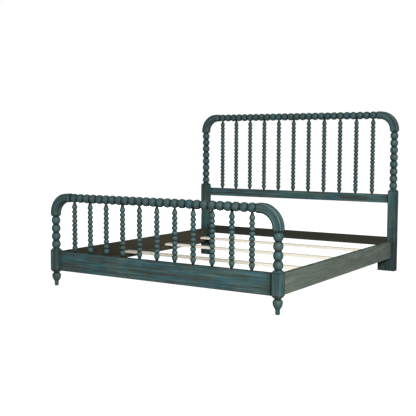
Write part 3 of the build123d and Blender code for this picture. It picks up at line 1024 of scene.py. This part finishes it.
@dataclass
class Plank:
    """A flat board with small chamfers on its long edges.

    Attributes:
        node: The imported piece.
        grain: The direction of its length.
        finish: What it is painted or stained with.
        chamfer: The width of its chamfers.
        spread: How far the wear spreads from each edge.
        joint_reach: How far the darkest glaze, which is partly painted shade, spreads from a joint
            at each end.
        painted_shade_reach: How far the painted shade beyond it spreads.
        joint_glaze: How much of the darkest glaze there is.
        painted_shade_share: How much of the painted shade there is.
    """

    node: str
    grain: Grain
    finish: PaintFinish | WoodFinish
    chamfer: float = 0.002
    spread: float = 0.0025
    joint_reach: float = 0.012
    painted_shade_reach: float = 0.080
    joint_glaze: float = 0.6
    painted_shade_share: float = 0.4

    def joint_places(self) -> Pair:
        """Find where the board meets a post at each end.

        Returns:
            The two places, along the grain.
        """
        low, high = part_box(self.node)
        if self.grain is Grain.ALONG:
            return (low.y, high.y)
        post_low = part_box("footboard_post_left")[1].x
        post_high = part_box("footboard_post_right")[0].x
        return (max(low.x, post_low), min(high.x, post_high))

    def bare_share(self, surface: Surface) -> Value:
        """Give the share of the surface that was left unpainted."""
        return 0.0

    def dress(self) -> None:
        """Give the board its finish."""
        low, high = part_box(self.node)
        centre = centre_of(self.node)
        surface = Surface.start(self.node)
        graph = surface.graph
        along = self.grain is Grain.ALONG
        lengthwise, sideways = (surface.y, surface.x) if along else (surface.x, surface.y)
        middle = centre.x if along else centre.y
        thickness = high.x - low.x if along else high.y - low.y
        edges = graph.group(
            ARRIS_GROUP,
            Depth_A=surface.depth(sideways, middle, thickness / 2),
            Depth_B=surface.depth(surface.z, centre.z, (high.z - low.z) / 2),
            Chamfer=self.chamfer,
            Spread=self.spread,
        )
        # Darker towards each end where the board meets a post: dark glaze right at the joint,
        # partly painted shade, and painted shade further along.
        start, end = self.joint_places()
        to_joint = surface.depth(lengthwise, (start + end) / 2, (end - start) / 2)
        close = graph.smooth(to_joint, self.joint_reach, 0.0)
        painted_shade = graph.smooth(to_joint, self.painted_shade_reach, 0.0)
        corner = graph.math(
            "MAXIMUM",
            graph.math("MULTIPLY", close, self.joint_glaze),
            graph.math("MULTIPLY", painted_shade, self.painted_shade_share),
        )
        wear = WearAndPaintedLight(groove=corner, arris=edges.outputs["Arris"], bare=self.bare_share(surface))
        self.finish.dress(surface, surface.grain(self.grain), wear)
        wear_finish(self.node, surface)


@dataclass
class SideRail(Plank):
    """A side rail, painted outside and stained brown on its inner face.

    Attributes:
        side: -1 for the left of the bed and 1 for the right.
        paint_edge: How far the stain comes round from the inner face.
        paint_fade: How far the paint beyond that takes to cover it.
    """

    side: int = 1
    paint_edge: float = 0.0030
    paint_fade: float = 0.0006

    def bare_share(self, surface: Surface) -> Value:
        """Find the inner face, which was left unpainted.

        Args:
            surface: The material in the making.

        Returns:
            The share that is bare: 1 on the inner face and just round its edges.
        """
        low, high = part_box(self.node)
        inner = low.x if self.side > 0 else high.x
        away = surface.offset(surface.x, inner)
        return surface.graph.smooth(away, self.paint_edge + self.paint_fade, self.paint_edge)


@dataclass
class LegBlock:
    """The square leg below a headboard post, and the plate beside it.

    Attributes:
        word: left or right.
        chamfer: The width of the chamfers on the leg's upright edges.
        dark_below: The height below which the leg and its plate are darker.
        plate_chamfer: The width of the chamfers on the plate's edges.
        plate_spread: How far the wear spreads from each of the plate's edges.
        plate_darkening: How much darker the plate is there.
    """

    word: str
    chamfer: float = 0.004
    dark_below: float = 0.34
    plate_chamfer: float = 0.002
    plate_spread: float = 0.0025
    plate_darkening: float = 0.70

    def dress(self) -> None:
        """Give the leg and its plate their paint."""
        leg = Post(
            f"headboard_leg_{self.word}",
            self.chamfer,
            seams=(LEG_JOINT,),
            dark_below=self.dark_below,
        )
        leg.dress()
        node = f"headboard_leg_plate_{self.word}"
        surface = Surface.start(node)
        low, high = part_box(node)
        centre = centre_of(node)
        edges = surface.graph.group(
            ARRIS_GROUP,
            Depth_A=surface.depth(surface.x, centre.x, (high.x - low.x) / 2),
            Depth_B=surface.depth(surface.y, centre.y, (high.y - low.y) / 2),
            Chamfer=self.plate_chamfer,
            Spread=self.plate_spread,
        )
        groove = surface.low_darkening(self.dark_below, self.plate_darkening)
        wear = WearAndPaintedLight(groove=groove, arris=edges.outputs["Arris"])
        PAINT.dress(surface, surface.grain(Grain.UPRIGHT), wear)
        wear_finish(node, surface)


@dataclass
class Board:
    """A headboard or footboard: posts, elbows, rails and spindles.

    Attributes:
        name: headboard or footboard.
        post_chamfer: The width of the chamfers on its posts' blocks.
        seams: The heights of edges and joints that cross its posts.
    """

    name: str
    post_chamfer: float
    seams: tuple[float, ...]

    def dress(self) -> None:
        """Finish every piece of the board."""
        for word, side in SIDES.items():
            Post(f"{self.name}_post_{word}", self.post_chamfer, seams=self.seams).dress()
            Elbow(f"{self.name}_elbow_{word}", side).dress()
        TurnedRail(self.name).dress()
        for number in range(1, SPINDLE_COUNT + 1):
            Spindle(f"{self.name}_spindle_{number:02d}").dress()


@dataclass
class Deck:
    """What carries the mattress: side rails, ledgers and slats."""

    def dress(self) -> None:
        """Finish every piece of the deck."""
        for word, side in SIDES.items():
            SideRail(f"side_rail_{word}", Grain.ALONG, SIDE_PAINT_AND_LIGHT, side=side).dress()
            Plank(f"ledger_{word}", Grain.ALONG, BROWN_STAIN).dress()
        for number in range(1, SLAT_COUNT + 1):
            Plank(f"slat_{number}", Grain.ACROSS, PALE_WOOD, chamfer=0.0015).dress()


def polygon(radius: float, sides: int) -> list[Pair]:
    """Give the corners of a regular polygon."""
    turns = [index * math.tau / sides for index in range(sides)]
    return [(radius * math.cos(turn), radius * math.sin(turn)) for turn in turns]


@dataclass
class Fastener:
    """The shape of one screw or bolt, with its head on the ground plane and facing up.

    Attributes:
        head: The radius of its head's face.
        head_depth: How deep the head is.
        shank: The radius of its shank.
        length: The length from the head's face to the tip.
        straight_head: Whether the head's side is straight, as a cap screw's is.
        drive: The kind of recess in the head.
        drive_radius: The radius of the recess.
        drive_depth: The depth of the recess.
        cross_arm: Half the width of a cross's arms, as a share of its radius.
        cross_floor: The size of a cross at the bottom of its recess, as a share.
        tip: The radius of the tip, as a share of the shank's.
        segments: How many sides its round parts have.
    """

    head: float
    head_depth: float
    shank: float
    length: float
    straight_head: bool
    drive: Drive
    drive_radius: float
    drive_depth: float
    cross_arm: float = 0.24
    cross_floor: float = 0.6
    tip: float = 0.15
    segments: int = 32

    def recess_outline(self) -> list[Pair]:
        """Draw the mouth of the recess.

        Returns:
            Its corners, seen from above.
        """
        repeats = self.drive.value
        if self.drive is Drive.HEXAGON:
            return polygon(self.drive_radius, repeats)
        half = self.drive_radius * self.cross_arm
        arm = [(self.drive_radius, -half), (self.drive_radius, half), (half, half)]
        corners = []
        for index in range(repeats):
            turn = Matrix.Rotation(index * math.tau / repeats, 2)
            corners += [tuple(turn @ Vector(corner)) for corner in arm]
        return corners

    def build(self) -> bpy.types.Mesh:
        """Make the mesh of the fastener.

        Returns:
            The mesh: a closed shell with the recess in its head.
        """
        shape = bmesh.new()

        def ring(outline: list[Pair], depth: float) -> list[bmesh.types.BMVert]:
            """Put corners at a depth below the head's face."""
            return [shape.verts.new((x, y, -depth)) for x, y in outline]

        def circle(radius: float) -> list[Pair]:
            """Give the corners of a round part."""
            return polygon(radius, self.segments)

        def wall(upper: list[bmesh.types.BMVert], lower: list[bmesh.types.BMVert]) -> None:
            """Join two rings with faces.

            Args:
                upper: The corners of the first ring.
                lower: The corners of the second.
            """
            for index, corner in enumerate(upper):
                after = (index + 1) % len(upper)
                shape.faces.new((corner, lower[index], lower[after], upper[after]))

        rim = ring(circle(self.head), 0.0)
        mouth = ring(self.recess_outline(), 0.0)
        borders = [
            shape.edges.new((loop[index - 1], loop[index]))
            for loop in (rim, mouth)
            for index in range(len(loop))
        ]
        bmesh.ops.triangle_fill(shape, use_beauty=True, use_dissolve=False, edges=borders)
        narrow = 1.0 if self.drive is Drive.HEXAGON else self.cross_floor
        outline = [(x * narrow, y * narrow) for x, y in self.recess_outline()]
        floor = ring(outline, self.drive_depth)
        wall(floor, mouth)
        shape.faces.new(floor)
        under = ring(circle(self.head if self.straight_head else self.shank), self.head_depth)
        wall(rim, under)
        top = under
        if self.straight_head:
            top = ring(circle(self.shank), self.head_depth)
            wall(under, top)
        bottom = ring(circle(self.shank), self.length - self.shank)
        wall(top, bottom)
        tip = ring(circle(self.shank * self.tip), self.length)
        wall(bottom, tip)
        shape.faces.new(tip)
        bmesh.ops.recalc_face_normals(shape, faces=shape.faces)
        mesh = bpy.data.meshes.new("fastener")
        shape.to_mesh(mesh)
        shape.free()
        return mesh


def build_row_tree() -> bpy.types.NodeTree:
    """Make the tree that repeats one fastener over points.

    Returns:
        The tree. Its points carry the way each fastener faces as "facing".
    """
    tree = bpy.data.node_groups.new("fastener_row", "GeometryNodeTree")
    inputs = {"Geometry": "Geometry", "Shape": "Object", "Material": "Material", "Seed": "Int"}
    for label, kind in inputs.items():
        tree.interface.new_socket(label, in_out="INPUT", socket_type=f"NodeSocket{kind}")
    tree.interface.new_socket("Geometry", in_out="OUTPUT", socket_type="NodeSocketGeometry")
    graph = Graph(tree)
    given = graph.add("NodeGroupInput").outputs
    shape = graph.add("GeometryNodeObjectInfo")
    graph.feed(shape.inputs["Object"], given["Shape"])
    facing = graph.add("GeometryNodeInputNamedAttribute", data_type="FLOAT_VECTOR")
    facing.inputs["Name"].default_value = "facing"
    align = graph.add("FunctionNodeAlignRotationToVector", axis="Z")
    graph.feed(align.inputs["Vector"], facing.outputs["Attribute"])
    row = graph.add("GeometryNodeInstanceOnPoints")
    graph.feed(row.inputs["Points"], given["Geometry"])
    graph.feed(row.inputs["Instance"], shape.outputs["Geometry"])
    graph.feed(row.inputs["Rotation"], align.outputs["Rotation"])
    turn = graph.add("FunctionNodeRandomValue", data_type="FLOAT")
    low, high = [socket for socket in turn.inputs if socket.type == "VALUE"][:2]
    low.default_value = 0.0
    high.default_value = math.tau
    graph.feed(turn.inputs["Seed"], given["Seed"])
    amount = next(socket for socket in turn.outputs if socket.type == "VALUE")
    roll = graph.add("ShaderNodeCombineXYZ")
    graph.feed(roll.inputs["Z"], amount)
    turned = graph.add("GeometryNodeRotateInstances")
    graph.feed(turned.inputs["Instances"], row.outputs["Instances"])
    graph.feed(turned.inputs["Rotation"], roll.outputs["Vector"])
    turned.inputs["Local Space"].default_value = True
    real = graph.add("GeometryNodeRealizeInstances")
    graph.feed(real.inputs["Geometry"], turned.outputs["Instances"])
    wearing = graph.add("GeometryNodeSetMaterial")
    graph.feed(wearing.inputs["Geometry"], real.outputs["Geometry"])
    graph.feed(wearing.inputs["Material"], given["Material"])
    result = graph.add("NodeGroupOutput")
    graph.feed(result.inputs["Geometry"], wearing.outputs["Geometry"])
    return tree


LEDGER_SCREW = Fastener(
    head=0.0043,
    head_depth=0.0026,
    shank=0.00225,
    length=0.042,
    straight_head=False,
    drive=Drive.CROSS,
    drive_radius=0.0024,
    drive_depth=0.0018,
)
SLAT_SCREW = replace(LEDGER_SCREW, length=0.038)
CAP_SCREW = Fastener(
    head=0.0065,
    head_depth=0.0080,
    shank=0.0040,
    length=0.074,
    straight_head=True,
    drive=Drive.HEXAGON,
    drive_radius=0.0034,
    drive_depth=0.0040,
)


@dataclass
class FastenerRow:
    """Screws or bolts of one kind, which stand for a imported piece.

    Attributes:
        name: The new piece's name.
        stands_for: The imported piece.
        fastener: The shape that is repeated.
        places: The middle of each head's face, and the way it faces.
        seed: The seed of the turns of the heads' recesses.
    """

    name: str
    stands_for: str
    fastener: Fastener
    places: list[Place]
    seed: int

    def build(self, tree: bpy.types.NodeTree) -> None:
        """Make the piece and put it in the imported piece's place.

        Args:
            tree: The tree that repeats a fastener over points.
        """
        surface = Surface.start(self.name)
        ZINC.dress(surface)
        shape = bpy.data.objects.new(f"{self.name}_shape", self.fastener.build())
        points = bpy.data.meshes.new(f"{self.name}_points")
        points.from_pydata([place for place, _ in self.places], [], [])
        facing = points.attributes.new("facing", "FLOAT_VECTOR", "POINT")
        for point, (_, direction) in zip(facing.data, self.places):
            point.vector = direction
        carrier = bpy.data.objects.new(f"{self.name}_points", points)
        for item in (shape, carrier):
            bpy.context.scene.collection.objects.link(item)
        row = carrier.modifiers.new("row", "NODES")
        row.node_group = tree
        values = {"Shape": shape, "Material": surface.material, "Seed": self.seed}
        for socket in tree.interface.items_tree:
            if socket.in_out == "INPUT" and socket.name in values:
                row[socket.identifier] = values[socket.name]
        graph = bpy.context.evaluated_depsgraph_get()
        mesh = bpy.data.meshes.new_from_object(carrier.evaluated_get(graph), depsgraph=graph)
        mesh.name = self.name
        carrier.modifiers.remove(row)
        for item in (shape, carrier):
            bpy.data.objects.remove(item)
        piece = bpy.data.objects.new(self.name, mesh)
        bpy.context.scene.collection.objects.link(piece)
        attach(piece, BODY)
        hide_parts(self.stands_for)
        count = len(self.places)
        LOG.info("%s stands for %s with %d fasteners", self.name, self.stands_for, count)


@dataclass
class Hardware:
    """Dowels, inserts, screws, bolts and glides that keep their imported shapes."""

    def dress(self) -> None:
        """Finish every packed fastener."""
        for node, grain in (
            ("elbow_dowels", Grain.UPRIGHT),
            ("rail_dowels", Grain.ALONG),
            ("plate_dowels", Grain.ACROSS),
        ):
            surface = Surface.start(node)
            BEECH.dress(surface, surface.grain(grain), WearAndPaintedLight())
            wear_finish(node, surface)
        for node, finish in (
            ("threaded_inserts", BRASS),
            ("leg_screws", ZINC),
            ("floor_glides", NYLON),
        ):
            surface = Surface.start(node)
            finish.dress(surface)
            wear_finish(node, surface)
        surface = Surface.start("leg_plugs")
        PLUG_PAINT.dress(surface, surface.grain(Grain.ALONG), WearAndPaintedLight())
        wear_finish("leg_plugs", surface)


@dataclass
class VisibleFasteners:
    """The screws and bolts whose heads are seen, with recesses in the heads.

    Attributes:
        bolt_rise: The height of the bolts above the side rails' lower edges.
        bolt_seat: How far the bolts' heads sit from the posts' faces.
        ledger_spots: Where a ledger's screws stand between two slats, as shares.
    """

    bolt_rise: float = 0.1155
    bolt_seat: float = 0.044
    ledger_spots: Pair = (0.25, 0.75)

    def slat_places(self) -> list[Place]:
        """Find the slat screws: on each slat's top, over the middle of each ledger.

        Returns:
            The middle of each head's face, and the way it faces.
        """
        places = []
        for word in SIDES:
            x = centre_of(f"ledger_{word}").x
            for number in range(1, SLAT_COUNT + 1):
                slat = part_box(f"slat_{number}")
                middle = (slat[0].y + slat[1].y) / 2
                places.append((Vector((x, middle, slat[1].z)), Vector((0, 0, 1))))
        return places

    def ledger_places(self) -> list[Place]:
        """Find the ledger screws: at quarters of the gaps between slats.

        Returns:
            The middle of each head's face, and the way it faces.
        """
        rows = [centre_of(f"slat_{number}").y for number in range(1, SLAT_COUNT + 1)]
        places = []
        for word, side in SIDES.items():
            low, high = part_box(f"ledger_{word}")
            x = low.x if side > 0 else high.x
            for start, end in zip(rows, rows[1:]):
                for share in self.ledger_spots:
                    spot = Vector((x, start + share * (end - start), (low.z + high.z) / 2))
                    places.append((spot, Vector((-side, 0, 0))))
        return places

    def bolt_places(self) -> list[Place]:
        """Find the bolts: in the pockets at both ends of each side rail.

        Returns:
            The middle of each head's face, and the way it faces.
        """
        places = []
        for word, side in SIDES.items():
            low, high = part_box(f"side_rail_{word}")
            x = (low.x + high.x) / 2
            z = low.z + self.bolt_rise
            reach = self.bolt_seat + CAP_SCREW.head_depth
            places.append((Vector((x, low.y + reach, z)), Vector((0, 1, 0))))
            places.append((Vector((x, high.y - reach, z)), Vector((0, -1, 0))))
        return places

    def build(self) -> None:
        """Make the three kinds of fastener that show."""
        tree = build_row_tree()
        for name, stands_for, fastener, places, seed in (
            ("slat_screw_row", "slat_screws", SLAT_SCREW, self.slat_places(), 3),
            ("ledger_screw_row", "ledger_screws", LEDGER_SCREW, self.ledger_places(), 5),
            ("rail_bolt_row", "rail_bolts", CAP_SCREW, self.bolt_places(), 8),
        ):
            FastenerRow(name, stands_for, fastener, places, seed).build(tree)


@dataclass(frozen=True)
class Lamp:
    """A square soft lamp that faces the bed.

    Attributes:
        name: The lamp's name.
        place: Where it hangs.
        size: The length of its sides.
        power: Its power in watts.
        tint: Its colour.
        mirrored: Whether it shows as a highlight on glossy surfaces.
        aim: The point that it faces.
    """

    name: str
    place: Triple
    size: float
    power: float
    tint: Colour
    mirrored: bool
    aim: Triple = (0.0, 0.0, 0.5)

    def hang(self) -> None:
        """Put the lamp in the scene."""
        data = bpy.data.lights.new(self.name, "AREA")
        data.size = self.size
        data.energy = self.power
        data.color = self.tint
        lamp = bpy.data.objects.new(self.name, data)
        lamp.visible_glossy = self.mirrored
        way = Vector(self.aim) - Vector(self.place)
        turn = way.to_track_quat("-Z", "Y").to_matrix().to_4x4()
        lamp.matrix_world = Matrix.Translation(self.place) @ turn
        bpy.context.scene.collection.objects.link(lamp)


LAMPS = (
    Lamp("key", (6.0, -6.0, 4.0), 1.8, 1150.0, (1.0, 0.98, 0.95), True),
    Lamp("fill", (-4.0, -6.0, 2.5), 2.5, 45.0, (0.88, 0.96, 1.0), False),
    Lamp("back", (-4.5, 6.5, 1.8), 2.5, 620.0, (0.94, 0.98, 1.0), False),
)


@dataclass
class Studio:
    """The camera, the floor and the soft studio light.

    Attributes:
        eye: The camera's place.
        azimuth: The camera's turn round the bed from the foot end, in degrees.
        pitch: How far it looks down, in degrees.
        roll: How far it leans, in degrees.
        lens: The focal length in millimetres.
        sensor: The width of the sensor in millimetres.
        view_reach: How far the camera sees.
        floor_reach: How far the floor goes each way from the bed's centre.
        floor_seen: The floor's own grey to the camera, under its white glow.
        floor_grey: The floor's grey to everything else.
        floor_roughness: The floor's roughness.
        glow: How bright the surroundings are to the bed's surfaces.
        mirrored_glow: How bright they are where a surface mirrors them.
    """

    eye: Triple = (3.35705, -5.65356, 1.11761)
    azimuth: float = 32.627
    pitch: float = 4.587
    roll: float = 0.2136
    lens: float = 67.94
    sensor: float = 36.0
    view_reach: float = 100.0
    floor_reach: float = 60.0
    floor_seen: float = 0.20
    floor_grey: float = 0.36
    floor_roughness: float = 0.9
    glow: float = 0.08
    mirrored_glow: float = 0.03

    def place_camera(self) -> None:
        """Set the camera where the photograph was taken from."""
        data = bpy.data.cameras.new("camera")
        data.lens = self.lens
        data.sensor_width = self.sensor
        data.clip_end = self.view_reach
        camera = bpy.data.objects.new("camera", data)
        turn = Matrix.Rotation(math.radians(self.azimuth), 4, "Z")
        tilt = Matrix.Rotation(math.radians(90.0 - self.pitch), 4, "X")
        lean = Matrix.Rotation(math.radians(self.roll), 4, "Z")
        camera.matrix_world = Matrix.Translation(self.eye) @ turn @ tilt @ lean
        bpy.context.scene.collection.objects.link(camera)
        bpy.context.scene.camera = camera

    def lay_floor(self) -> None:
        """Lay a plain pale floor that reaches past the view."""
        mesh = bpy.data.meshes.new("floor")
        reach = self.floor_reach
        corners = [(-reach, -reach, 0), (reach, -reach, 0), (reach, reach, 0), (-reach, reach, 0)]
        mesh.from_pydata(corners, [], [(0, 1, 2, 3)])
        floor = bpy.data.objects.new("floor", mesh)
        bpy.context.scene.collection.objects.link(floor)
        material = bpy.data.materials.new("floor")
        material.use_nodes = True
        graph = Graph(material.node_tree)
        shader = material.node_tree.nodes["Principled BSDF"]
        shader.inputs["Roughness"].default_value = self.floor_roughness
        shader.inputs["Specular IOR Level"].default_value = 0.0
        seen = graph.add("ShaderNodeLightPath").outputs["Is Camera Ray"]
        shader.inputs["Emission Color"].default_value = (1.0, 1.0, 1.0, 1.0)
        greys = [(grey,) * 3 for grey in (self.floor_grey, self.floor_seen)]
        graph.feed(shader.inputs["Base Color"], graph.blend(seen, *greys))
        graph.feed(shader.inputs["Emission Strength"], seen)
        mesh.materials.append(material)

    def light_world(self) -> None:
        """Surround the bed with pale light, and show white behind it."""
        world = bpy.data.worlds.new("studio")
        world.use_nodes = True
        bpy.context.scene.world = world
        graph = Graph(world.node_tree)
        world.node_tree.nodes.clear()
        rays = graph.add("ShaderNodeLightPath").outputs
        background = graph.add("ShaderNodeBackground")
        background.inputs["Color"].default_value = (1.0, 1.0, 1.0, 1.0)
        dimming = self.mirrored_glow - self.glow
        glow = graph.math("MULTIPLY_ADD", rays["Is Glossy Ray"], dimming, self.glow)
        strength = graph.math("MAXIMUM", rays["Is Camera Ray"], glow)
        graph.feed(background.inputs["Strength"], strength)
        output = graph.add("ShaderNodeOutputWorld")
        graph.feed(output.inputs["Surface"], background.outputs["Background"])

    def set_up(self) -> None:
        """Set up everything that the bed is seen in."""
        self.place_camera()
        self.lay_floor()
        self.light_world()
        for lamp in LAMPS:
            lamp.hang()
        bpy.context.scene.view_settings.view_transform = "Standard"


def main() -> None:
    """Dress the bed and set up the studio."""
    logging.basicConfig(level=logging.INFO, format="%(name)s: %(message)s")
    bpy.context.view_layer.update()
    Studio().set_up()
    Board("headboard", post_chamfer=0.004, seams=(LEG_JOINT, 0.7133)).dress()
    Board("footboard", post_chamfer=0.011, seams=(0.129, 0.281)).dress()
    for word in SIDES:
        LegBlock(word).dress()
    Plank("headboard_mid_rail", Grain.ACROSS, PAINT).dress()
    Plank("headboard_low_rail", Grain.ACROSS, DARK_STAIN).dress()
    Plank("footboard_bottom_rail", Grain.ACROSS, PAINT).dress()
    Deck().dress()
    Hardware().dress()
    VisibleFasteners().build()


if __name__ == "__main__":
    main()
